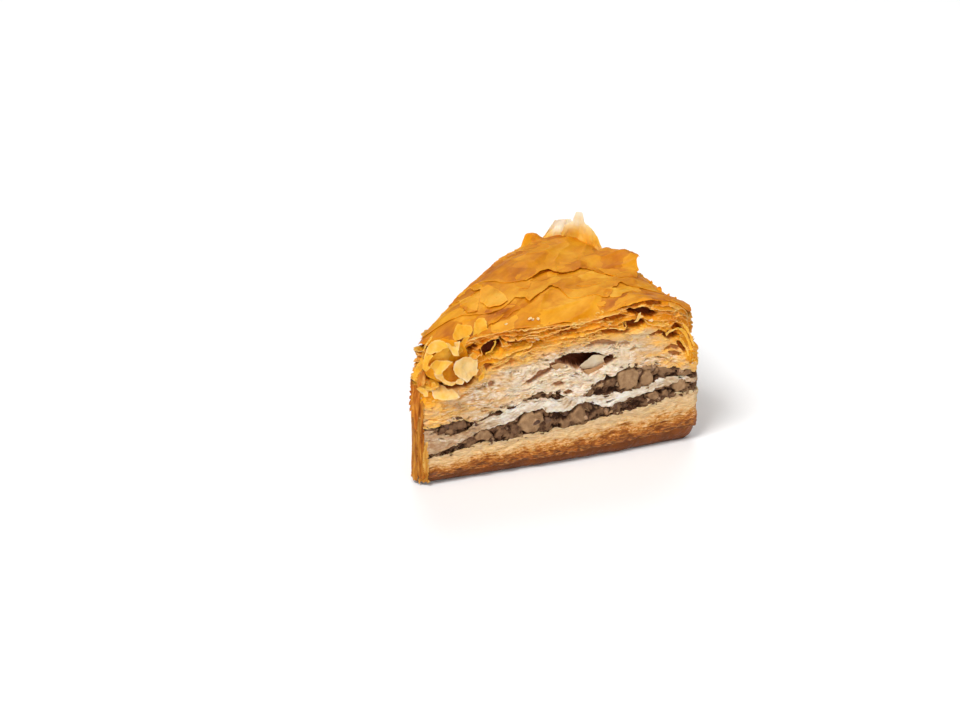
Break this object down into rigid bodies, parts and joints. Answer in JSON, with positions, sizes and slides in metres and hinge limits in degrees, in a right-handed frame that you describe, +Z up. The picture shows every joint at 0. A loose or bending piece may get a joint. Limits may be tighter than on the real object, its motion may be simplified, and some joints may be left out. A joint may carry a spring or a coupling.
{
  "type": "baklava piece",
  "caption": "Wedge of layered syrup pastry: a moist dark base, chopped walnut fillings, a thin pastry band and a deep cream to golden stack of thin leaves with a crisp, curling top.",
  "frame": {"origin": "on the rest plane, under the middle of the part's box", "axes": "+X along the long front cut towards its right end, -Y out of that cut, +Z up through the layers"},
  "size_m": [0.0604, 0.051, 0.0343],
  "materials": {
    "pastry_base": "syrup-soaked pastry leaves, beige to orange-brown, slightly sticky",
    "walnut_lower": "chopped walnuts, pale cut faces and dark skins",
    "pastry_middle": "moist pale pastry leaves",
    "walnut_upper": "chopped walnuts, pale cut faces and dark skins",
    "pastry_top": "crisp buttery leaves, golden and softly glossy on top, cream below"
  },
  "bodies": {
    "root": {"pastry_base": "pastry_base", "walnut_lower": "walnut_lower", "pastry_middle": "pastry_middle", "walnut_upper": "walnut_upper", "pastry_top": "pastry_top"}
  },
  "joints": []
}
